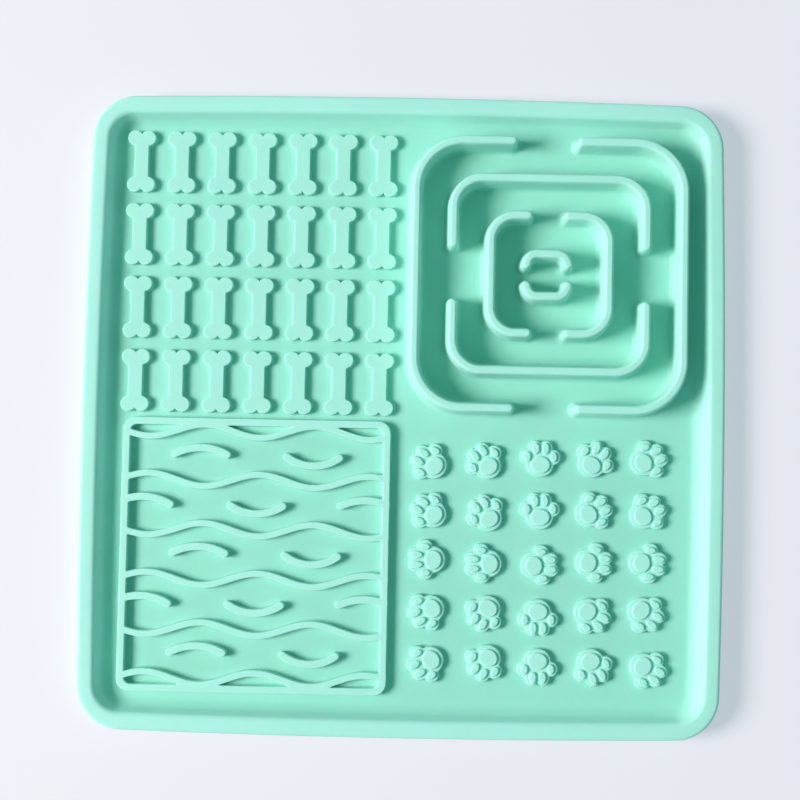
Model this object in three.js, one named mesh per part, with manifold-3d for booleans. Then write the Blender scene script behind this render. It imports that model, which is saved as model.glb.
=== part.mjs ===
import * as THREE from 'three';
import { mergeVertices } from 'three/addons/utils/BufferGeometryUtils.js';
import Module from 'manifold-3d';

// Square lick mat, one piece of moulded silicone. Millimetres, +Z up.
// Origin at the middle of the flat underside, +X right and +Y away, seen from above.

// Plate: four bowed sides that run into round corners
const SIDE_REACH = { x: 101.7, y: 101.3 };
const CORNER = { x: 86.7, y: 86.3, radius: 14, steps: 4 };
const SIDE_STEPS = 4;
const RIM_TOP = 9;
const RIM_ROUND = { drop: 1.3, inset: 1.3, steps: 2 };
const FOOT_CHAMFER = { drop: 0.8, inset: 0.8, steps: 1 };

// Tray inside the rim: insets are counted from the outer side of the mat
const FLOOR = 2.8;
const TRAY_WALL_INSET = 5.8;
const TRAY_FILLET = { drop: 3.4, inset: 4.2, steps: 2 };
// Round inner shoulder of the rim: where it starts, and the angle in degrees through which it falls
const SHOULDER = { inset: 3, radius: 3.2, turn: 65, steps: 3, overlap: 1.05 };

// Raised forms start below the floor, inside the plate
const ROOT = 1.4;

// Bones, upper left quarter
const BONES = { x: -85.58, y: 79.81, stepX: 12.98, stepY: -23.46, columns: 7, rows: 4 };
const BONE = { lobeX: 2.05, lobeY: 7.5, lobeRadius: 2.5, shaftHalf: 2.3, steps: 4, top: 5 };
const BONE_EDGE = { drop: 2.2, inset: 0.3, steps: 1 };

// Maze, upper right quarter: three square rings with two gaps each, two brackets in the middle
const MAZE = { x: 45.34, y: 44.86, top: 13.8, half: 1.85, endSteps: 4 };
const MAZE_EDGE = { drop: 11, inset: 0.8, steps: 2 };
const RINGS = [
  { reach: 42.31, corner: 15.5, cornerSteps: 5, gapFrom: -10.15, gapTo: 8.05, turned: false },
  { reach: 30.46, corner: 9.5, cornerSteps: 4, gapFrom: -7.6, gapTo: 7.5, turned: true },
  { reach: 18.63, corner: 8.1, cornerSteps: 4, gapFrom: -5, gapTo: 3.95, turned: false },
];
const BRACKETS = [
  { x: -0.85, y: 6.45, flatHalf: 4.05, arm: 2.95, side: -1 },
  { x: -0.85, y: -6.95, flatHalf: 4.05, arm: 2.85, side: 1 },
];

// Wave panel, lower left quarter: frame, six waves and the short arcs between them
const PANEL = { left: -88.9, right: -3.72, top: -2.26, bottom: -88.71, bar: 2.35, corner: 4 };
const PANEL_TOP = 5.6;
const PANEL_EDGE = { drop: 2.8, inset: 0.4, steps: 1 };
const PANEL_CORNER_STEPS = 3;
const WAVES = { count: 6, y: -6.3, stepY: -15.62, height: 1.95, length: 35, crestX: -45.3 };
const WAVE_HALF = 1.1;
const WAVE_STEPS = 16;
const ARC_HALF = 1.25;
const ARC_SPAN = 9.1;
const ARC_STEPS = 4;
const ARC_END_STEPS = 2;
const ARC_ROW_STEP = -31.24;
const ARCS = [
  { x: -63.9, y: -11.7, rise: 2.6, left: 8.3, right: 8.3, rows: 3 },
  { x: -28.2, y: -16.9, rise: -3.3, left: 8.3, right: 8.3, rows: 3 },
  { x: -82, y: -27.5, rise: 2.6, left: 5.8, right: 8.7, rows: 2 },
  { x: -45.9, y: -32.4, rise: -3.1, left: 8.3, right: 8.3, rows: 2 },
  { x: -11.2, y: -27.5, rise: 2.5, left: 7.9, right: 6.3, rows: 2 },
];

// Paws, lower right quarter: a low base under one main pad and four toes, toes towards local +Y
const PAW_BASE = {
  top: 4.8,
  heel: { x: 0, y: 0.3, across: 4.35, along: 4.25, from: -165, to: -15, steps: 4 },
  outer: { x: 4.15, y: 2.55, across: 2.35, along: 2.45, from: -65, to: 70, steps: 3 },
  inner: { x: 1.65, y: 5.35, across: 2.15, along: 2.5, from: 5, to: 125, steps: 3 },
  notchY: 6.8,
};
const PAW_BASE_EDGE = { drop: 2, inset: 0.35, steps: 1 };
const PAD_TOP = 5.6;
const PAD_EDGE = { drop: 0.8, inset: 0.3, steps: 1 };
const PADS = [
  { x: 0, y: 0, across: 3.05, along: 2.65, steps: 8 },
  { x: -1.55, y: 5.2, across: 1.1, along: 1.85, steps: 6 },
  { x: 1.55, y: 5.2, across: 1.1, along: 1.85, steps: 6 },
  { x: -4.15, y: 2.55, across: 1.05, along: 1.6, steps: 6 },
  { x: 4.15, y: 2.55, across: 1.05, along: 1.6, steps: 6 },
];
// Middle of each main pad, and the way its toes point in degrees from +X
const PAWS = [
  { x: 10.3, y: -16.1, turn: 147 },
  { x: 27.4, y: -16.0, turn: 125.5 },
  { x: 43.9, y: -15.1, turn: 89 },
  { x: 60.1, y: -14.9, turn: 57 },
  { x: 76.6, y: -13.8, turn: 27 },
  { x: 10.4, y: -31.6, turn: 146 },
  { x: 27.9, y: -32.5, turn: 123 },
  { x: 44.0, y: -31.7, turn: 91 },
  { x: 59.3, y: -30.4, turn: 28.5 },
  { x: 76.6, y: -30.7, turn: 35 },
  { x: 10.4, y: -45.7, turn: 181 },
  { x: 28.3, y: -46.6, turn: 182 },
  { x: 42.3, y: -47.0, turn: 4 },
  { x: 59.4, y: -45.7, turn: -2 },
  { x: 76.4, y: -45.4, turn: -4 },
  { x: 10.3, y: -61.0, turn: 213 },
  { x: 28.0, y: -60.6, turn: 237 },
  { x: 43.8, y: -61.4, turn: 271 },
  { x: 59.4, y: -61.1, turn: -35 },
  { x: 76.3, y: -60.4, turn: -35 },
  { x: 10.3, y: -77.1, turn: 215 },
  { x: 28.3, y: -76.1, turn: 238 },
  { x: 43.9, y: -76.9, turn: 271 },
  { x: 60.6, y: -76.7, turn: -65 },
  { x: 77.1, y: -77.9, turn: -32 },
];

const SILICONE = { color: 0x93e3cf, roughness: 0.45, metalness: 0 };

const wasm = await Module();
wasm.setup();

const rad = THREE.MathUtils.degToRad;
const point = (x, y) => new THREE.Vector2(x, y);

// Evenly spaced points on an arc or part of an ellipse, angles in radians.
function arcPoints(x, y, across, along, from, to, steps) {
  return new THREE.EllipseCurve(x, y, across, along, from, to, to < from, 0).getPoints(steps);
}

// Raised block on an outline. Its side leans in by edge.inset over edge.drop below its top.
function raised(outline, top, edge) {
  const geometry = new THREE.ExtrudeGeometry(new THREE.Shape(outline), {
    depth: top,
    bevelThickness: edge.drop,
    bevelSize: edge.inset,
    bevelOffset: -edge.inset,
    bevelSegments: edge.steps,
  });
  return geometry.translate(0, 0, -edge.drop);
}

function toSolid(geometry) {
  geometry.deleteAttribute('normal');
  geometry.deleteAttribute('uv');
  const merged = mergeVertices(geometry, 1e-5);
  return new wasm.Manifold(new wasm.Mesh({
    numProp: 3,
    vertProperties: new Float32Array(merged.attributes.position.array),
    triVerts: new Uint32Array(merged.index.array),
  }));
}

// How far behind the middle of the mat the centre of a bowed side lies.
function bowCentre(reach, near, far) {
  const flat = reach - CORNER.radius;
  return (near * near + far * far - flat * flat) / (2 * (flat - near));
}

// Outline of the mat moved inwards: corner rounds joined by arcs that meet them smoothly.
function matOutline(inset) {
  const radius = CORNER.radius - inset;
  const backX = bowCentre(SIDE_REACH.x, CORNER.x, CORNER.y);
  const backY = bowCentre(SIDE_REACH.y, CORNER.y, CORNER.x);
  const endX = Math.atan2(CORNER.y, CORNER.x + backX);
  const endY = Math.atan2(CORNER.x, CORNER.y + backY);
  const sideX = SIDE_REACH.x + backX - inset;
  const sideY = SIDE_REACH.y + backY - inset;
  const right = arcPoints(-backX, 0, sideX, sideX, -endX, endX, SIDE_STEPS).slice(1, -1);
  const corner = arcPoints(CORNER.x, CORNER.y, radius, radius, endX, Math.PI / 2 - endY, CORNER.steps);
  const above = arcPoints(0, -backY, sideY, sideY, Math.PI / 2 - endY, Math.PI / 2 + endY, SIDE_STEPS);
  const opposite = corner.map((p) => point(-p.x, p.y)).reverse();
  const half = [...right, ...corner, ...above.slice(1, -1), ...opposite];
  return [...half, ...half.map((p) => point(-p.x, -p.y))];
}

// Cutter that opens upwards from an outline, its lower edge shaped by edge.
function cutter(inset, bottom, edge) {
  const geometry = new THREE.ExtrudeGeometry(new THREE.Shape(matOutline(inset)), {
    depth: 2 * RIM_TOP,
    bevelThickness: edge.drop,
    bevelSize: edge.inset,
    bevelOffset: -edge.inset,
    bevelSegments: edge.steps,
  });
  return toSolid(geometry.translate(0, 0, bottom + edge.drop));
}

// Cutters for the rim's inner shoulder, one per chord of its arc. Each runs a little past the next one.
function shoulderCutters() {
  const { inset, radius, turn, steps, overlap } = SHOULDER;
  const quarter = Math.PI / 2;
  const arc = arcPoints(inset, RIM_TOP - radius, radius, radius, quarter, quarter - rad(turn), steps);
  return arc.slice(1).map((end, i) => {
    const chord = { drop: overlap * (arc[i].y - end.y), inset: overlap * (end.x - arc[i].x), steps: 1 };
    return cutter(arc[i].x, arc[i].y - chord.drop, chord);
  });
}

// Plate with its raised rim and the tray inside it.
function tray() {
  const rounded = toSolid(raised(matOutline(0), RIM_TOP, RIM_ROUND));
  const footed = cutter(0, 0, FOOT_CHAMFER);
  const hollow = cutter(TRAY_WALL_INSET, FLOOR, TRAY_FILLET);
  return [hollow, ...shoulderCutters()].reduce((solid, cut) => solid.subtract(cut), rounded.intersect(footed));
}

// One side of a bar along an open line, mitred at its bends.
function barSide(line, offset) {
  return line.map((p, i) => {
    const back = p.clone().sub(line[Math.max(i - 1, 0)]).normalize();
    const ahead = line[Math.min(i + 1, line.length - 1)].clone().sub(p).normalize();
    const along = back.clone().add(ahead).normalize();
    const reach = offset / along.dot(i === 0 ? ahead : back);
    return point(p.x - along.y * reach, p.y + along.x * reach);
  });
}

// Points round the end of a bar, between its two sides.
function barEnd(tip, before, half, steps) {
  const heading = tip.clone().sub(before).angle();
  const quarter = Math.PI / 2;
  return arcPoints(tip.x, tip.y, half, half, heading - quarter, heading + quarter, steps).slice(1, -1);
}

// Outline of a bar of even width along an open line.
function barOutline(line, half, endSteps) {
  const last = line.length - 1;
  return [
    ...barSide(line, -half),
    ...barEnd(line[last], line[last - 1], half, endSteps),
    ...barSide(line, half).reverse(),
    ...barEnd(line[0], line[1], half, endSteps),
  ];
}

// Bone lying along Y: four lobes and a straight shaft.
function boneOutline() {
  const { lobeX, lobeY, lobeRadius, shaftHalf, steps } = BONE;
  const foot = Math.asin((shaftHalf - lobeX) / lobeRadius) - Math.PI / 2;
  const notch = Math.PI - Math.acos(lobeX / lobeRadius);
  const right = arcPoints(lobeX, lobeY, lobeRadius, lobeRadius, foot, notch, steps + 1);
  const left = right.slice(0, -1).map((p) => point(-p.x, p.y)).reverse();
  const upper = [...right, ...left];
  return [...upper, ...upper.map((p) => point(-p.x, -p.y))];
}

function bones() {
  const forms = [];
  for (let row = 0; row < BONES.rows; row += 1) {
    for (let column = 0; column < BONES.columns; column += 1) {
      const x = BONES.x + column * BONES.stepX;
      const y = BONES.y + row * BONES.stepY;
      forms.push(raised(boneOutline(), BONE.top, BONE_EDGE).translate(x, y, 0));
    }
  }
  return forms;
}

// Right-hand half of a square ring, from its upper gap round to its lower gap.
function halfRing(ring, gap) {
  const mid = ring.reach - ring.corner;
  const upper = arcPoints(mid, mid, ring.corner, ring.corner, Math.PI / 2, 0, ring.cornerSteps);
  const lower = upper.map((p) => point(p.x, -p.y)).reverse();
  const start = gap + MAZE.half;
  return [point(start, ring.reach), ...upper, ...lower, point(start, -ring.reach)];
}

function ringWalls(ring) {
  const right = halfRing(ring, ring.gapTo);
  const left = halfRing(ring, -ring.gapFrom).map((p) => point(-p.x, p.y));
  const lines = ring.turned ? [right, left].map((line) => line.map((p) => point(p.y, p.x))) : [right, left];
  return lines.map((line) => raised(barOutline(line, MAZE.half, MAZE.endSteps), MAZE.top, MAZE_EDGE));
}

// Short wall in the middle of the maze, with an arm turned in at each end.
function bracketWall({ x, y, flatHalf, arm, side }) {
  const line = [
    point(x - flatHalf - arm, y + side * arm),
    point(x - flatHalf, y),
    point(x + flatHalf, y),
    point(x + flatHalf + arm, y + side * arm),
  ];
  return raised(barOutline(line, MAZE.half, MAZE.endSteps), MAZE.top, MAZE_EDGE);
}

function maze() {
  const walls = [...RINGS.flatMap(ringWalls), ...BRACKETS.map(bracketWall)];
  return walls.map((wall) => wall.translate(MAZE.x, MAZE.y, 0));
}

// Rectangle with round corners, all of it moved inwards by inset.
function panelOutline(inset) {
  const radius = PANEL.corner - inset;
  const halfX = (PANEL.right - PANEL.left) / 2 - PANEL.corner;
  const halfY = (PANEL.top - PANEL.bottom) / 2 - PANEL.corner;
  const midX = (PANEL.right + PANEL.left) / 2;
  const midY = (PANEL.top + PANEL.bottom) / 2;
  const upper = [
    ...arcPoints(halfX, halfY, radius, radius, 0, Math.PI / 2, PANEL_CORNER_STEPS),
    ...arcPoints(-halfX, halfY, radius, radius, Math.PI / 2, Math.PI, PANEL_CORNER_STEPS),
  ];
  const outline = [...upper, ...upper.map((p) => point(-p.x, -p.y))];
  return outline.map((p) => point(p.x + midX, p.y + midY));
}

function panelFrame() {
  const shape = new THREE.Shape(panelOutline(0));
  shape.holes.push(new THREE.Path(panelOutline(PANEL.bar)));
  const geometry = new THREE.ExtrudeGeometry(shape, {
    depth: PANEL_TOP,
    bevelThickness: PANEL_EDGE.drop,
    bevelSize: PANEL_EDGE.inset,
    bevelOffset: -PANEL_EDGE.inset,
    bevelSegments: PANEL_EDGE.steps,
  });
  return geometry.translate(0, 0, -PANEL_EDGE.drop);
}

// Wave from the left bar of the frame to its right bar. Every second wave is turned over.
function wave(index) {
  const from = PANEL.left + PANEL.bar / 2;
  const run = PANEL.right - PANEL.left - PANEL.bar;
  const height = index % 2 === 0 ? -WAVES.height : WAVES.height;
  const line = Array.from({ length: WAVE_STEPS + 1 }, (_, i) => {
    const x = from + (run * i) / WAVE_STEPS;
    const phase = (2 * Math.PI * (x - WAVES.crestX)) / WAVES.length;
    return point(x, WAVES.y + index * WAVES.stepY + height * Math.cos(phase));
  });
  return raised(barOutline(line, WAVE_HALF, 1), PANEL_TOP, PANEL_EDGE);
}

// Short arc whose highest or lowest point is at x, y.
function shortArc({ x, y, rise, left, right }) {
  const size = Math.abs(rise);
  const radius = (ARC_SPAN * ARC_SPAN + size * size) / (2 * size);
  const from = Math.asin(left / radius);
  const to = -Math.asin(right / radius);
  const side = Math.sign(rise);
  const arch = arcPoints(0, -radius, radius, radius, Math.PI / 2 + from, Math.PI / 2 + to, ARC_STEPS);
  const line = arch.map((p) => point(p.x + x, y + side * p.y));
  return raised(barOutline(line, ARC_HALF, ARC_END_STEPS), PANEL_TOP, PANEL_EDGE);
}

function wavePanel() {
  const forms = [panelFrame()];
  for (let index = 0; index < WAVES.count; index += 1) {
    forms.push(wave(index));
  }
  for (const arc of ARCS) {
    for (let row = 0; row < arc.rows; row += 1) {
      forms.push(shortArc({ ...arc, y: arc.y + row * ARC_ROW_STEP }));
    }
  }
  return forms;
}

function lobePoints({ x, y, across, along, from, to, steps }) {
  return arcPoints(x, y, across, along, rad(from), rad(to), steps);
}

// Outline round a whole paw: heel, outer toe, inner toe, then the same on the other side.
function pawBaseOutline() {
  const heel = lobePoints(PAW_BASE.heel);
  const right = [...lobePoints(PAW_BASE.outer), ...lobePoints(PAW_BASE.inner)];
  const left = right.map((p) => point(-p.x, p.y)).reverse();
  return [...heel, ...right, point(0, PAW_BASE.notchY), ...left];
}

function padOutline({ x, y, across, along, steps }) {
  return arcPoints(x, y, across, along, 0, 2 * Math.PI, steps).slice(0, -1);
}

function paw({ x, y, turn }) {
  const base = raised(pawBaseOutline(), PAW_BASE.top, PAW_BASE_EDGE);
  const pads = PADS.map((pad) => raised(padOutline(pad), PAD_TOP, PAD_EDGE));
  return [base, ...pads].map((form) => form.rotateZ(rad(turn - 90)).translate(x, y, 0));
}

// Everything above this level of the plate.
function aboveRoot() {
  const size = 2 * SIDE_REACH.x;
  return toSolid(new THREE.BoxGeometry(size, size, size).translate(0, 0, ROOT + size / 2));
}

function lickMat() {
  const forms = [...bones(), ...maze(), ...wavePanel(), ...PAWS.flatMap(paw)].map(toSolid);
  const relief = forms.reduce((sum, form) => sum.add(form)).intersect(aboveRoot());
  const mesh = tray().add(relief).getMesh();
  const geometry = new THREE.BufferGeometry();
  geometry.setAttribute('position', new THREE.BufferAttribute(mesh.vertProperties, 3));
  geometry.setIndex(new THREE.BufferAttribute(mesh.triVerts, 1));
  geometry.computeVertexNormals();
  const lickMatMesh = new THREE.Mesh(geometry, new THREE.MeshStandardMaterial(SILICONE));
  lickMatMesh.name = 'lick_mat';
  return lickMatMesh;
}

const group = new THREE.Group();
group.add(lickMat());

export default group;
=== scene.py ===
import math

import bpy
import numpy as np
from mathutils import Matrix, Vector
from mathutils.geometry import delaunay_2d_cdt


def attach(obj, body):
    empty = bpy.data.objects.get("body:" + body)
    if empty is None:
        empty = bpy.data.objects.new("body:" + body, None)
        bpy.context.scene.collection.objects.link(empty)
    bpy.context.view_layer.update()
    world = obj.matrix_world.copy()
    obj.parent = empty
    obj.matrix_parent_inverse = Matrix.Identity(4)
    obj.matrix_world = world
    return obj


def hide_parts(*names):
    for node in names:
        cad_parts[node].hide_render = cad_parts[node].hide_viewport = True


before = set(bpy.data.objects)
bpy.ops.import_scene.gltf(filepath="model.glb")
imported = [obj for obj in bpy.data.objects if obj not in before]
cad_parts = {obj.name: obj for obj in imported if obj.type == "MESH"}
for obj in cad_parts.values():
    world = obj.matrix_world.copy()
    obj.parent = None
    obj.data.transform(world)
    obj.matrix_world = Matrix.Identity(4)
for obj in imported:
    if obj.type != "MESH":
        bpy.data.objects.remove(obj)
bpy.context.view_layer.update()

# Sizes are in millimetres unless a comment says otherwise. MM turns them into metres.
MM = 0.001

# Mat and rim
REACH_X, REACH_Y = 101.7, 101.3
CORNER_X, CORNER_Y, CORNER_R = 86.7, 86.3, 14.0
FLOOR, RIM_TOP = 2.8, 9.0
OUTER_R, FOOT_R = 1.2, 0.9
# Inner side of the rim: a round shoulder, a straight slope and a hollow that runs out on the floor
SHOULDER_INSET, SHOULDER_R, HOLLOW_R = 4.0, 1.8, 4.0
RIM_SLOPE = math.radians(70)
# How far the flat faces are followed past the rounds that end on them
FLAT_RUN = 0.6
# Rows of points on the straight outer side: the height of one, and how far another is above the foot's round
SIDE_MIDDLE, ABOVE_FOOT = 4.5, 0.4
# Number of steps on each round of the outline and of the rim's section, and where the outer one starts
CORNER_STEPS, SIDE_STEPS = 20, 20
OUTER_STEPS, SHOULDER_STEPS, HOLLOW_STEPS, FOOT_STEPS = 6, 7, 8, 4
OUTER_FROM = math.radians(170)


def bow_centre(reach, near, far):
    flat = reach - CORNER_R
    return (near * near + far * far - flat * flat) / (2 * (flat - near))


BACK_X = bow_centre(REACH_X, CORNER_X, CORNER_Y)
BACK_Y = bow_centre(REACH_Y, CORNER_Y, CORNER_X)


def arc(cx, cy, r, start, end, steps):
    a = np.linspace(start, end, steps + 1)
    return np.stack([cx + r * np.cos(a), cy + r * np.sin(a)], axis=1)


def rim_profile():
    """Top of the rim from its outer round to the floor: (inset from the outer side, height)."""
    up = math.pi / 2
    outer = arc(OUTER_R, RIM_TOP - OUTER_R, OUTER_R, OUTER_FROM, up, OUTER_STEPS)
    shoulder = arc(SHOULDER_INSET, RIM_TOP - SHOULDER_R, SHOULDER_R, up, up - RIM_SLOPE, SHOULDER_STEPS)
    slope_drop = RIM_TOP - FLOOR - (SHOULDER_R + HOLLOW_R) * (1 - math.cos(RIM_SLOPE))
    foot = shoulder[-1, 0] + slope_drop / math.tan(RIM_SLOPE) + HOLLOW_R * math.sin(RIM_SLOPE)
    hollow = arc(foot, FLOOR + HOLLOW_R, HOLLOW_R, -up - RIM_SLOPE, -up, HOLLOW_STEPS)
    return np.concatenate([outer, shoulder, hollow, [[foot + FLAT_RUN, FLOOR]]])


def side_profile():
    """Outer side from under the rim's round to the underside: (inset, height)."""
    straight = [(0.0, RIM_TOP - OUTER_R), (0.0, SIDE_MIDDLE), (0.0, FOOT_R + ABOVE_FOOT)]
    foot = arc(FOOT_R, FOOT_R, FOOT_R, math.pi, 1.5 * math.pi, FOOT_STEPS)
    return [*straight, *foot.tolist(), (FOOT_R + FLAT_RUN, 0.0)]


def mat_outline(inset):
    """Outline of the mat moved inwards: four bowed sides that run into round corners."""
    end_x = math.atan2(CORNER_Y, CORNER_X + BACK_X)
    end_y = math.atan2(CORNER_X, CORNER_Y + BACK_Y)
    half_pi = math.pi / 2
    right = arc(-BACK_X, 0, REACH_X + BACK_X - inset, -end_x, end_x, SIDE_STEPS)[1:-1]
    corner = arc(CORNER_X, CORNER_Y, CORNER_R - inset, end_x, half_pi - end_y, CORNER_STEPS)
    top = arc(0, -BACK_Y, REACH_Y + BACK_Y - inset, half_pi - end_y, half_pi + end_y, SIDE_STEPS)[1:-1]
    half = np.concatenate([right, corner, top, (corner * [-1, 1])[::-1]])
    return np.concatenate([half, -half])


RIM = rim_profile()


def mat_inset(p):
    """How far points lie inside the outer side of the mat."""
    q = np.abs(p)
    at_right = REACH_X + BACK_X - np.hypot(q[:, 0] + BACK_X, q[:, 1])
    at_top = REACH_Y + BACK_Y - np.hypot(q[:, 0], q[:, 1] + BACK_Y)
    at_corner = CORNER_R - np.hypot(q[:, 0] - CORNER_X, q[:, 1] - CORNER_Y)
    inset = np.minimum(at_right, at_top)
    in_corner = (q[:, 0] > CORNER_X) & (q[:, 1] > CORNER_Y)
    return np.where(in_corner, at_corner, inset)


# Distance fields
# Past FAR from a line it no longer matters how far a point is. TINY keeps divisors above zero.
FAR, TINY = 9.0, 1e-9


def smooth_union(a, b, blend):
    h = np.clip(0.5 + 0.5 * (b - a) / blend, 0, 1)
    return b + (a - b) * h - blend * h * (1 - h)


def ellipse(p, cx, cy, rx, ry):
    q = p - [cx, cy]
    k0 = np.hypot(q[:, 0] / rx, q[:, 1] / ry)
    k1 = np.hypot(q[:, 0] / rx**2, q[:, 1] / ry**2)
    return k0 * (k0 - 1) / np.maximum(k1, TINY)


def block(p, cx, cy, hx, hy, r):
    """Rectangle with round corners."""
    q = np.abs(p - [cx, cy]) - [hx - r, hy - r]
    outside = np.hypot(np.maximum(q[:, 0], 0), np.maximum(q[:, 1], 0))
    return outside + np.minimum(np.maximum(q[:, 0], q[:, 1]), 0) - r


def line_distance(p, line):
    best = np.full(len(p), FAR)
    for a, b in zip(line[:-1], line[1:]):
        run = b - a
        near = (p[:, 0] > min(a[0], b[0]) - FAR) & (p[:, 0] < max(a[0], b[0]) + FAR)
        near &= (p[:, 1] > min(a[1], b[1]) - FAR) & (p[:, 1] < max(a[1], b[1]) + FAR)
        q = p[near] - a
        t = np.clip(q @ run / (run @ run), 0, 1)
        best[near] = np.minimum(best[near], np.hypot(*(q - t[:, None] * run).T))
    return best


# The forms
# Number of steps on a ring's corner, a bracket's bend, a wave and a short arc
RING_STEPS, BEND_STEPS, WAVE_STEPS, ARC_STEPS = 24, 10, 89, 20
BONE = dict(lobe_x=2.05, lobe_y=7.5, r=2.5, shaft=2.28, blend=0.5)
BONE_GRID = dict(x=-85.58, y=79.81, step_x=12.98, step_y=-23.46, columns=7, rows=4)

MAZE_X, MAZE_Y, MAZE_HALF = 45.34, 44.86, 2.0
RINGS = [
    dict(reach=42.31, corner=15.5, gap_from=-10.15, gap_to=8.05, turned=False),
    dict(reach=30.46, corner=9.5, gap_from=-7.6, gap_to=7.5, turned=True),
    dict(reach=18.63, corner=8.1, gap_from=-5.0, gap_to=3.95, turned=False),
]
BRACKETS = [
    dict(x=-0.85, y=6.45, side=-1),
    dict(x=-0.85, y=-6.95, side=1),
]
# Half of a bracket's middle stretch, the round bend into each arm, and the arm's tip from the middle
BRACKET_FLAT, BRACKET_R, BRACKET_TURN, BRACKET_TIP = 3.0, 3.4, 75, (6.5, 3.35)

# How softly the parts of the wave panel and of a paw run into each other
PANEL_BLEND, PAW_BLEND = 0.5, 0.45

PANEL = dict(left=-88.9, right=-3.72, top=-2.26, bottom=-88.71, bar=2.35, corner=4.0, inner=2.3)
WAVES = dict(count=6, y=-6.3, step_y=-15.62, height=1.95, length=35.0, crest_x=-45.3, half=1.05)
ARC_HALF = 1.22
ARC_SPAN = 9.1
ARC_ROW_STEP = -31.24
ARCS = [
    dict(x=-63.9, y=-11.7, rise=2.6, left=8.3, right=8.3, rows=3),
    dict(x=-28.2, y=-16.9, rise=-3.3, left=8.3, right=8.3, rows=3),
    dict(x=-82.0, y=-27.5, rise=2.6, left=5.8, right=8.7, rows=2),
    dict(x=-45.9, y=-32.4, rise=-3.1, left=8.3, right=8.3, rows=2),
    dict(x=-11.2, y=-27.5, rise=2.5, left=7.9, right=6.3, rows=2),
]

# (centre x, centre y, half across, half along); the toes point to +Y
PAW_LOBES = [
    (0, 0.3, 4.3, 4.2),
    (-4.1, 2.55, 2.3, 2.4),
    (4.1, 2.55, 2.3, 2.4),
    (-1.7, 5.35, 2.1, 2.4),
    (1.7, 5.35, 2.1, 2.4),
]
PAW_PADS = [
    (0, 0, 3.0, 2.6),
    (-1.55, 5.2, 1.08, 1.8),
    (1.55, 5.2, 1.08, 1.8),
    (-4.15, 2.55, 1.02, 1.55),
    (4.15, 2.55, 1.02, 1.55),
]
# (x, y of the main pad, the way the toes point in degrees from +X)
PAWS = [
    (10.3, -16.1, 147), (27.4, -16.0, 125.5), (43.9, -15.1, 89), (60.1, -14.9, 57), (76.6, -13.8, 27),
    (10.4, -31.6, 146), (27.9, -32.5, 123), (44.0, -31.7, 91), (59.3, -30.4, 28.5), (76.6, -30.7, 35),
    (10.4, -45.7, 181), (28.3, -46.6, 182), (42.3, -47.0, 4), (59.4, -45.7, -2), (76.4, -45.4, -4),
    (10.3, -61.0, 213), (28.0, -60.6, 237), (43.8, -61.4, 271), (59.4, -61.1, -35), (76.3, -60.4, -35),
    (10.3, -77.1, 215), (28.3, -76.1, 238), (43.9, -76.9, 271), (60.6, -76.7, -65), (77.1, -77.9, -32),
]


def bone_field(p):
    q = np.abs(p)
    lobe = np.hypot(q[:, 0] - BONE["lobe_x"], q[:, 1] - BONE["lobe_y"]) - BONE["r"]
    shaft = np.maximum(q[:, 0] - BONE["shaft"], q[:, 1] - BONE["lobe_y"])
    return smooth_union(lobe, shaft, BONE["blend"])


def half_ring(ring, gap):
    mid = ring["reach"] - ring["corner"]
    upper = arc(mid, mid, ring["corner"], math.pi / 2, 0, RING_STEPS)
    start = gap + MAZE_HALF
    line = [[start, ring["reach"]], *upper, *(upper * [1, -1])[::-1], [start, -ring["reach"]]]
    return np.array(line)


def ring_lines(ring):
    right = half_ring(ring, ring["gap_to"])
    left = half_ring(ring, -ring["gap_from"]) * [-1, 1]
    return [line[:, ::-1] if ring["turned"] else line for line in (right, left)]


def bracket_line(x, y, side):
    down = -math.pi / 2
    bend = arc(BRACKET_FLAT, BRACKET_R, BRACKET_R, down, down + math.radians(BRACKET_TURN), BEND_STEPS)
    right = np.array([*bend, BRACKET_TIP])
    left = (right * [-1, 1])[::-1]
    return np.concatenate([left, right]) * [1, side] + [x, y]


MAZE_LINES = [line for ring in RINGS for line in ring_lines(ring)]
MAZE_LINES += [bracket_line(**bracket) for bracket in BRACKETS]


def maze_field(p):
    return np.min([line_distance(p, line) for line in MAZE_LINES], axis=0) - MAZE_HALF


def wave_line(index):
    x = np.linspace(PANEL["left"] + PANEL["bar"] / 2, PANEL["right"] - PANEL["bar"] / 2, WAVE_STEPS + 1)
    height = WAVES["height"] * (-1 if index % 2 == 0 else 1)
    phase = 2 * math.pi * (x - WAVES["crest_x"]) / WAVES["length"]
    y = WAVES["y"] + index * WAVES["step_y"] + height * np.cos(phase)
    return np.stack([x, y], axis=1)


def arc_line(x, y, rise, left, right):
    size = abs(rise)
    r = (ARC_SPAN**2 + size**2) / (2 * size)
    up = math.pi / 2
    line = arc(0, -r, r, up + math.asin(left / r), up - math.asin(right / r), ARC_STEPS)
    return line * [1, math.copysign(1, rise)] + [x, y]


WAVE_LINES = [wave_line(i) for i in range(WAVES["count"])]
ARC_LINES = [
    arc_line(a["x"], a["y"] + row * ARC_ROW_STEP, a["rise"], a["left"], a["right"])
    for a in ARCS
    for row in range(a["rows"])
]


def panel_field(p):
    cx, cy = (PANEL["left"] + PANEL["right"]) / 2, (PANEL["top"] + PANEL["bottom"]) / 2
    hx, hy = (PANEL["right"] - PANEL["left"]) / 2, (PANEL["top"] - PANEL["bottom"]) / 2
    outer = block(p, cx, cy, hx, hy, PANEL["corner"])
    inner = block(p, cx, cy, hx - PANEL["bar"], hy - PANEL["bar"], PANEL["inner"])
    d = np.maximum(outer, -inner)
    for line in WAVE_LINES:
        d = smooth_union(d, line_distance(p, line) - WAVES["half"], PANEL_BLEND)
    for line in ARC_LINES:
        d = smooth_union(d, line_distance(p, line) - ARC_HALF, PANEL_BLEND)
    return d


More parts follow.
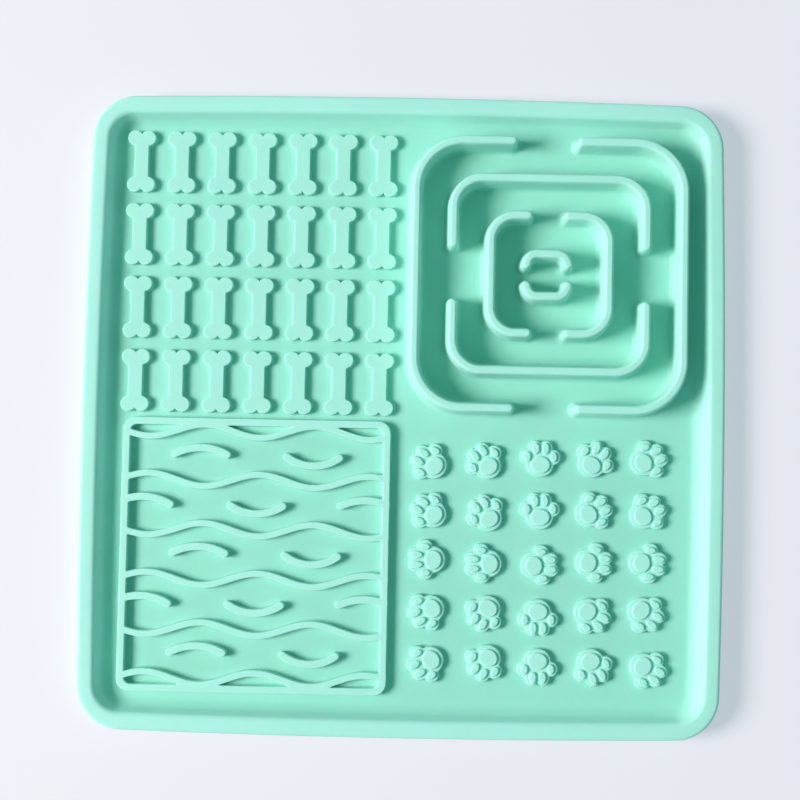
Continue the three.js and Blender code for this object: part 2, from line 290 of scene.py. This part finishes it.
def paw_field(p):
    d = ellipse(p, *PAW_LOBES[0])
    for lobe in PAW_LOBES[1:]:
        d = smooth_union(d, ellipse(p, *lobe), PAW_BLEND)
    return d


def pad_field(p):
    return np.min([ellipse(p, *pad) for pad in PAW_PADS], axis=0)


# How far a form's side goes on flat, outside its foot and inside its top edge
FOOT_RUN, TOP_RUN = 0.22, 0.12


def relief(height, foot, draft, top, foot_steps, top_steps):
    """Side of a raised form: (distance outside its outline, height over the floor), from outside inwards."""
    rows = [(foot + FOOT_RUN, 0.0)]
    for a in np.linspace(0, math.pi / 2, foot_steps + 1):
        rows.append((foot - foot * math.sin(a), foot - foot * math.cos(a)))
    for a in np.linspace(0, math.pi / 2, top_steps + 1):
        rows.append((-draft - top + top * math.cos(a), height - top + top * math.sin(a)))
    rows.append((-draft - top - TOP_RUN, height))
    return np.array(rows)


BONE_SIDE = relief(height=2.2, foot=0.28, draft=0.05, top=0.18, foot_steps=2, top_steps=2)
# Side of a maze wall with its draft and round top: (distance outside the outline, height over the floor)
MAZE_SIDE = np.array(
    [
        (1.45, 0.0),
        (1.2, 0.0),
        (0.6, 0.16),
        (0.16, 0.6),
        (0.0, 1.2),
        (-0.1, 4.0),
        (-0.28, 7.2),
        (-0.5, 9.3),
        (-0.62, 10.0),
        (-0.76, 10.5),
        (-0.98, 10.83),
        (-1.28, 11.0),
        (-1.42, 11.0),
    ]
)
PANEL_SIDE = relief(height=2.8, foot=0.28, draft=0.06, top=0.2, foot_steps=2, top_steps=2)
PAW_SIDE = relief(height=2.0, foot=0.25, draft=0.05, top=0.24, foot_steps=2, top_steps=2)
PAD_SIDE = relief(height=0.8, foot=0.14, draft=0.03, top=0.2, foot_steps=1, top_steps=2)


def profile_height(side, d):
    return np.interp(d, side[::-1, 0], side[::-1, 1])


# Contours
# Per kind of cell: the sides on which a contour enters and leaves it, with the form on its left
BOTTOM, RIGHT, TOP, LEFT = range(4)
CELL_PATHS = {
    1: [(BOTTOM, LEFT)],
    2: [(RIGHT, BOTTOM)],
    3: [(RIGHT, LEFT)],
    4: [(TOP, RIGHT)],
    5: [(BOTTOM, LEFT), (TOP, RIGHT)],
    6: [(TOP, BOTTOM)],
    7: [(TOP, LEFT)],
    8: [(LEFT, TOP)],
    9: [(BOTTOM, TOP)],
    10: [(RIGHT, BOTTOM), (LEFT, TOP)],
    11: [(RIGHT, TOP)],
    12: [(LEFT, RIGHT)],
    13: [(BOTTOM, RIGHT)],
    14: [(LEFT, BOTTOM)],
}


def contours(f, x0, y0, step):
    """Closed loops where the gridded field f is zero."""
    rows, cols = f.shape
    inside = f < 0
    code = inside[:-1, :-1] + 2 * inside[:-1, 1:] + 4 * inside[1:, 1:] + 8 * inside[1:, :-1]

    def edge(side, j, i):
        if side in (BOTTOM, TOP):
            return 2 * ((j + (side == TOP)) * cols + i)
        return 2 * (j * cols + i + (side == RIGHT)) + 1

    follow = {}
    for kind, paths in CELL_PATHS.items():
        j, i = np.nonzero(code == kind)
        for enter, leave in paths:
            follow.update(zip(edge(enter, j, i).tolist(), edge(leave, j, i).tolist()))
    loops = []
    while follow:
        first, at = follow.popitem()
        ids = [first]
        while at != first:
            ids.append(at)
            at = follow.pop(at)
        ids = np.array(ids)
        j, i = np.divmod(ids // 2, cols)
        up = ids % 2 == 1
        a, b = f[j, i], f[j + up, i + ~up]
        t = a / (a - b)
        x = x0 + step * (i + np.where(up, 0, t))
        y = y0 + step * (j + np.where(up, t, 0))
        loops.append(np.stack([x, y], axis=1))
    return loops


def thinned(loop, tolerance):
    """The loop without the points that lie within tolerance of the line through their neighbours."""
    n = len(loop)
    keep = np.zeros(n, bool)
    far = int(np.argmax(np.hypot(*(loop - loop[0]).T)))
    closed = np.concatenate([loop, loop[:1]])
    keep[[0, far]] = True
    stack = [(0, far), (far, n)]
    while stack:
        a, b = stack.pop()
        if b - a < 2:
            continue
        run = closed[b] - closed[a]
        q = closed[a + 1 : b] - closed[a]
        off = np.abs(q[:, 0] * run[1] - q[:, 1] * run[0]) / max(np.hypot(*run), TINY)
        k = int(np.argmax(off))
        if off[k] > tolerance:
            k += a + 1
            keep[k] = True
            stack += [(a, k), (k, b)]
    return loop[keep]


# Where each kind of form is sampled, how finely, and how far its contours may be off when thinned
SAMPLING = {
    "bone": dict(x0=-6.2, y0=-11.4, x1=6.2, y1=11.4, step=0.1, tolerance=0.022),
    "maze": dict(x0=-46.5, y0=-46.5, x1=46.5, y1=46.5, step=0.15, tolerance=0.016),
    "panel": dict(x0=-90.5, y0=-90.3, x1=-2.1, y1=-0.7, step=0.12, tolerance=0.018),
    "paw": dict(x0=-8, y0=-6, x1=8, y1=10, step=0.1, tolerance=0.022),
    "pad": dict(x0=-8, y0=-6, x1=8, y1=10, step=0.08, tolerance=0.02),
}
# A contour with no more points than this is a stray one
STRAY_POINTS = 12


def form_loops(field, side, x0, y0, x1, y1, step, tolerance):
    xs, ys = np.arange(x0, x1, step), np.arange(y0, y1, step)
    gx, gy = np.meshgrid(xs, ys)
    f = field(np.stack([gx.ravel(), gy.ravel()], axis=1)).reshape(gx.shape)
    loops = []
    for d in side[:, 0]:
        whole = [loop for loop in contours(f - d, x0, y0, step) if len(loop) > STRAY_POINTS]
        loops += [thinned(loop, tolerance) for loop in whole]
    return loops


def turned(p, degrees):
    a = math.radians(degrees)
    return p @ np.array([[math.cos(a), math.sin(a)], [-math.sin(a), math.cos(a)]])


BONE_PLACES = [
    np.array([BONE_GRID["x"] + i * BONE_GRID["step_x"], BONE_GRID["y"] + j * BONE_GRID["step_y"]])
    for j in range(BONE_GRID["rows"])
    for i in range(BONE_GRID["columns"])
]


# How far a bone and a paw reach from their middles, and where the maze and the wave panel end
BONE_REACH, PAW_REACH = (6.5, 12), 11
MAZE_FROM_X, MAZE_FROM_Y, MAZE_FROM_INSET = 0, -1, 5
PANEL_TO_X, PANEL_TO_Y, PANEL_FROM_INSET = -2, -1, 8


def height_at(p):
    """Height of the top surface over the underside."""
    inset = mat_inset(p)
    z = np.interp(inset, RIM[:, 0], RIM[:, 1])
    for place in BONE_PLACES:
        near = (np.abs(p - place) < BONE_REACH).all(axis=1)
        z[near] = np.maximum(z[near], FLOOR + profile_height(BONE_SIDE, bone_field(p[near] - place)))
    near = (p[:, 0] > MAZE_FROM_X) & (p[:, 1] > MAZE_FROM_Y) & (inset > MAZE_FROM_INSET)
    z[near] = np.maximum(z[near], FLOOR + profile_height(MAZE_SIDE, maze_field(p[near] - [MAZE_X, MAZE_Y])))
    near = (p[:, 0] < PANEL_TO_X) & (p[:, 1] < PANEL_TO_Y) & (inset > PANEL_FROM_INSET)
    z[near] = np.maximum(z[near], FLOOR + profile_height(PANEL_SIDE, panel_field(p[near])))
    for x, y, turn in PAWS:
        near = np.hypot(p[:, 0] - x, p[:, 1] - y) < PAW_REACH
        q = turned(p[near] - [x, y], 90 - turn)
        paw = profile_height(PAW_SIDE, paw_field(q)) + profile_height(PAD_SIDE, pad_field(q))
        z[near] = np.maximum(z[near], FLOOR + paw)
    return z


def all_loops():
    loops = [mat_outline(inset) for inset in RIM[1:, 0]]
    bone = form_loops(bone_field, BONE_SIDE, **SAMPLING["bone"])
    loops += [loop + place for place in BONE_PLACES for loop in bone]
    maze = form_loops(maze_field, MAZE_SIDE, **SAMPLING["maze"])
    loops += [loop + [MAZE_X, MAZE_Y] for loop in maze]
    loops += form_loops(panel_field, PANEL_SIDE, **SAMPLING["panel"])
    paw = form_loops(paw_field, PAW_SIDE, **SAMPLING["paw"])
    paw += form_loops(pad_field, PAD_SIDE, **SAMPLING["pad"])
    for x, y, turn in PAWS:
        loops += [turned(loop, turn - 90) + [x, y] for loop in paw]
    return loops


# Points closer together than this are taken as one
WELD = 1e-5


def lick_mat_mesh():
    edge_loop = mat_outline(RIM[0, 0])
    loops = [edge_loop, *all_loops()]
    points, lines, n = np.concatenate(loops), [], 0
    for loop in loops:
        k = len(loop)
        lines += [(n + i, n + (i + 1) % k) for i in range(k)]
        n += k
    verts, _, faces, from_in, _, _ = delaunay_2d_cdt([Vector(p) for p in points], lines, [], 0, WELD, True)
    flat = np.array([v[:] for v in verts])
    top = np.concatenate([flat, height_at(flat)[:, None]], axis=1)
    # The outer loop keeps its order, so the outer side can be built on it.
    place = {i: out for out, ins in enumerate(from_in) for i in ins}
    ring = [place[i] for i in range(len(edge_loop))]
    coords = [top]
    count = len(top)
    all_faces = [tuple(f) for f in faces]
    for inset, z in side_profile():
        loop = mat_outline(inset)
        coords.append(np.concatenate([loop, np.full((len(loop), 1), z)], axis=1))
        new = list(range(count, count + len(loop)))
        count += len(loop)
        for i in range(len(loop)):
            k = (i + 1) % len(loop)
            all_faces.append((ring[i], new[i], new[k], ring[k]))
        ring = new
    all_faces.append(tuple(reversed(ring)))
    mesh = bpy.data.meshes.new("lick_mat_body")
    mesh.from_pydata((np.concatenate(coords) * MM).tolist(), [], all_faces)
    mesh.validate()
    mesh.update()
    return mesh


# Material
# Painted shade by height: the floor's colour is darkened as painted shade, the raised tops keep the lit
# colour, and the heights between which one passes into the other
SHADED_FLOOR_TINT, LIT_TOP_TINT = (0.34, 0.75, 0.63), (0.44, 0.84, 0.74)
SHADE_FROM_HEIGHT, SHADE_TO_HEIGHT = 3.2, 5.4
# Noise of the silicone's surface, as scale per metre and detail
PIGMENT_CLOUD, SMEAR, DIPS, GRAIN = (30, 4), (110, 5), (160, 2), (5200, 2)
PIGMENT_RANGE, ROUGHNESS_RANGE = (0.955, 1.045), (0.5, 0.64)
# Bumps, as strength and depth in millimetres
DIPS_BUMP, GRAIN_BUMP = (0.5, 0.08), (0.22, 0.03)
# Gloss, and the light that goes into the silicone and out again
IOR, SPECULAR_LEVEL = 1.43, 0.4
SUBSURFACE_WEIGHT, SUBSURFACE_RADIUS, SUBSURFACE_DEPTH = 0.4, (0.3, 1.0, 0.75), 1.0


def add_node(tree, kind, **values):
    """New shader node with the given input values, underscores standing for spaces."""
    node = tree.nodes.new(kind)
    for name, value in values.items():
        node.inputs[name.replace("_", " ")].default_value = value
    return node


def noise(tree, place, scale, detail):
    node = add_node(tree, "ShaderNodeTexNoise", Scale=scale, Detail=detail)
    tree.links.new(place.outputs["Object"], node.inputs["Vector"])
    return node


def spread(tree, values):
    """Node that spreads 0 to 1 over a range of values."""
    return add_node(tree, "ShaderNodeMapRange", To_Min=values[0], To_Max=values[1])


def bump(tree, strength, depth):
    return add_node(tree, "ShaderNodeBump", Strength=strength, Distance=depth * MM)


def height_painted_shade(tree, place):
    """Colour by height with painted shade: the floor between the forms is painted darker than their tops, for
    the shade it gets among them.
    """
    axes = add_node(tree, "ShaderNodeSeparateXYZ")
    rise = add_node(tree, "ShaderNodeMapRange", From_Min=SHADE_FROM_HEIGHT * MM, From_Max=SHADE_TO_HEIGHT * MM)
    tint = add_node(tree, "ShaderNodeValToRGB")
    tint.color_ramp.elements[0].color = (*SHADED_FLOOR_TINT, 1)
    tint.color_ramp.elements[1].color = (*LIT_TOP_TINT, 1)
    tree.links.new(place.outputs["Object"], axes.inputs["Vector"])
    tree.links.new(axes.outputs["Z"], rise.inputs["Value"])
    tree.links.new(rise.outputs["Result"], tint.inputs["Fac"])
    return tint


def silicone():
    mat = bpy.data.materials.new("silicone")
    mat.use_nodes = True
    tree = mat.node_tree
    shader = tree.nodes["Principled BSDF"]
    place = tree.nodes.new("ShaderNodeTexCoord")

    # Slow, faint clouds of lighter and darker pigment over the painted shade by height
    cloud = noise(tree, place, *PIGMENT_CLOUD)
    shade = spread(tree, PIGMENT_RANGE)
    colour = add_node(tree, "ShaderNodeHueSaturation")
    tree.links.new(cloud.outputs["Fac"], shade.inputs["Value"])
    tree.links.new(shade.outputs["Result"], colour.inputs["Value"])
    tree.links.new(height_painted_shade(tree, place).outputs["Color"], colour.inputs["Color"])
    tree.links.new(colour.outputs["Color"], shader.inputs["Base Color"])

    # Satin face of the mould, a little smoother in places
    smear = noise(tree, place, *SMEAR)
    satin = spread(tree, ROUGHNESS_RANGE)
    tree.links.new(smear.outputs["Fac"], satin.inputs["Value"])
    tree.links.new(satin.outputs["Result"], shader.inputs["Roughness"])

    # Slight unevenness of the moulded faces, and the fine grain of a blasted mould over it
    dips = noise(tree, place, *DIPS)
    grain = noise(tree, place, *GRAIN)
    dips_bump = bump(tree, *DIPS_BUMP)
    grain_bump = bump(tree, *GRAIN_BUMP)
    tree.links.new(dips.outputs["Fac"], dips_bump.inputs["Height"])
    tree.links.new(grain.outputs["Fac"], grain_bump.inputs["Height"])
    tree.links.new(dips_bump.outputs["Normal"], grain_bump.inputs["Normal"])
    tree.links.new(grain_bump.outputs["Normal"], shader.inputs["Normal"])

    shader.inputs["IOR"].default_value = IOR
    shader.inputs["Specular IOR Level"].default_value = SPECULAR_LEVEL
    shader.inputs["Subsurface Weight"].default_value = SUBSURFACE_WEIGHT
    shader.inputs["Subsurface Radius"].default_value = SUBSURFACE_RADIUS
    shader.inputs["Subsurface Scale"].default_value = SUBSURFACE_DEPTH * MM
    return mat


mesh = lick_mat_mesh()
mesh.polygons.foreach_set("use_smooth", [True] * len(mesh.polygons))
mesh.materials.append(silicone())
mat_object = bpy.data.objects.new("lick_mat_body", mesh)
bpy.context.scene.collection.objects.link(mat_object)
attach(mat_object, "root")
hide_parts("lick_mat")


# Stage
TABLE_HALF, TABLE_DOWN = 2500, 0.05
TABLE_TINTS = (0.39, 0.36, 0.365), (0.405, 0.37, 0.375)
TABLE_CLOUD, TABLE_ROUGHNESS = (3.0, 2), 0.6
TABLE_GLOW = (0.437, 0.448, 0.505)


def table_material():
    """Pale table top, lit a little from within as a light table, which keeps shadows on it pale."""
    mat = bpy.data.materials.new("table_top")
    mat.use_nodes = True
    tree = mat.node_tree
    shader = tree.nodes["Principled BSDF"]
    place = tree.nodes.new("ShaderNodeTexCoord")
    cloud = noise(tree, place, *TABLE_CLOUD)
    tint = add_node(tree, "ShaderNodeValToRGB")
    for stop, colour in zip(tint.color_ramp.elements, TABLE_TINTS):
        stop.color = (*colour, 1)
    tree.links.new(cloud.outputs["Fac"], tint.inputs["Fac"])
    tree.links.new(tint.outputs["Color"], shader.inputs["Base Color"])
    shader.inputs["Roughness"].default_value = TABLE_ROUGHNESS
    shader.inputs["Emission Color"].default_value = (*TABLE_GLOW, 1)
    shader.inputs["Emission Strength"].default_value = 1.0
    return mat


def table_top():
    half, z = TABLE_HALF * MM, -TABLE_DOWN * MM
    mesh = bpy.data.meshes.new("table_top")
    corners = [(-half, -half, z), (half, -half, z), (half, half, z), (-half, half, z)]
    mesh.from_pydata(corners, [], [(0, 1, 2, 3)])
    mesh.materials.append(table_material())
    table = bpy.data.objects.new("table_top", mesh)
    bpy.context.scene.collection.objects.link(table)


# Key light: its distance in metres, and its angles in degrees
LIGHT_AWAY = 2.5
KEY_LIGHT = dict(azimuth=184, elevation=39, half_angle=12, energy=81, color=(1.0, 0.90, 0.91))
# Light of the room around, by height: from the horizon to HIGH, the sine of an elevation, and above it
HORIZON, ZENITH, HIGH = (0.46, 0.52, 0.55), (0.107, 0.30, 0.27), 0.6


def soft_light(name, azimuth, elevation, half_angle, energy, color):
    """Round soft light that faces the mat, its size given as the angle it takes up."""
    data = bpy.data.lights.new(name, "AREA")
    data.shape = "DISK"
    data.size = 2 * LIGHT_AWAY * math.tan(math.radians(half_angle))
    data.energy = energy
    data.color = color
    light = bpy.data.objects.new(name, data)
    a, e = math.radians(azimuth), math.radians(elevation)
    towards = Vector((math.cos(a) * math.cos(e), math.sin(a) * math.cos(e), math.sin(e)))
    light.location = LIGHT_AWAY * towards
    light.rotation_euler = light.location.to_track_quat("Z", "Y").to_euler()
    bpy.context.scene.collection.objects.link(light)


def soft_room():
    """World whose light passes from HORIZON to ZENITH with height."""
    world = bpy.data.worlds.new("soft_room")
    world.use_nodes = True
    tree = world.node_tree
    around = tree.nodes.new("ShaderNodeTexCoord")
    axes = tree.nodes.new("ShaderNodeSeparateXYZ")
    ramp = tree.nodes.new("ShaderNodeValToRGB")
    ramp.color_ramp.elements[0].color = (*HORIZON, 1)
    ramp.color_ramp.elements[1].color = (*ZENITH, 1)
    ramp.color_ramp.elements[1].position = HIGH
    tree.links.new(around.outputs["Generated"], axes.inputs["Vector"])
    tree.links.new(axes.outputs["Z"], ramp.inputs["Fac"])
    tree.links.new(ramp.outputs["Color"], tree.nodes["Background"].inputs["Color"])
    bpy.context.scene.world = world


# Camera over the middle of the mat, its place and turn found from the photo's perspective.
# The photo's side and the lens are in pixels of the photo, the camera's place in millimetres.
PHOTO = 800
FOCAL_PX, CENTRE_U, CENTRE_V = 1618.45, 399.61, 362.52
CAMERA_AT = Vector((0.65, -13.21, 520.0))
TURN_X, TURN_Y, TURN_Z = -0.0578, -0.0040, -0.0197
SENSOR_WIDTH, CLIP_START = 36, 10


def photo_camera():
    data = bpy.data.cameras.new("camera")
    data.sensor_width = SENSOR_WIDTH
    data.lens = FOCAL_PX * SENSOR_WIDTH / PHOTO
    data.shift_x = (PHOTO / 2 - CENTRE_U) / PHOTO
    data.shift_y = (CENTRE_V - PHOTO / 2) / PHOTO
    data.clip_start = CLIP_START * MM
    camera = bpy.data.objects.new("camera", data)
    turn = Matrix.Rotation(TURN_Z, 3, "Z") @ Matrix.Rotation(TURN_X, 3, "X") @ Matrix.Rotation(TURN_Y, 3, "Y")
    camera.matrix_world = Matrix.Translation(CAMERA_AT * MM) @ turn.transposed().to_4x4()
    bpy.context.scene.collection.objects.link(camera)
    bpy.context.scene.camera = camera


table_top()
soft_light("key", **KEY_LIGHT)
soft_room()
photo_camera()
bpy.context.scene.view_settings.view_transform = "Standard"
bpy.context.scene.view_settings.look = "None"
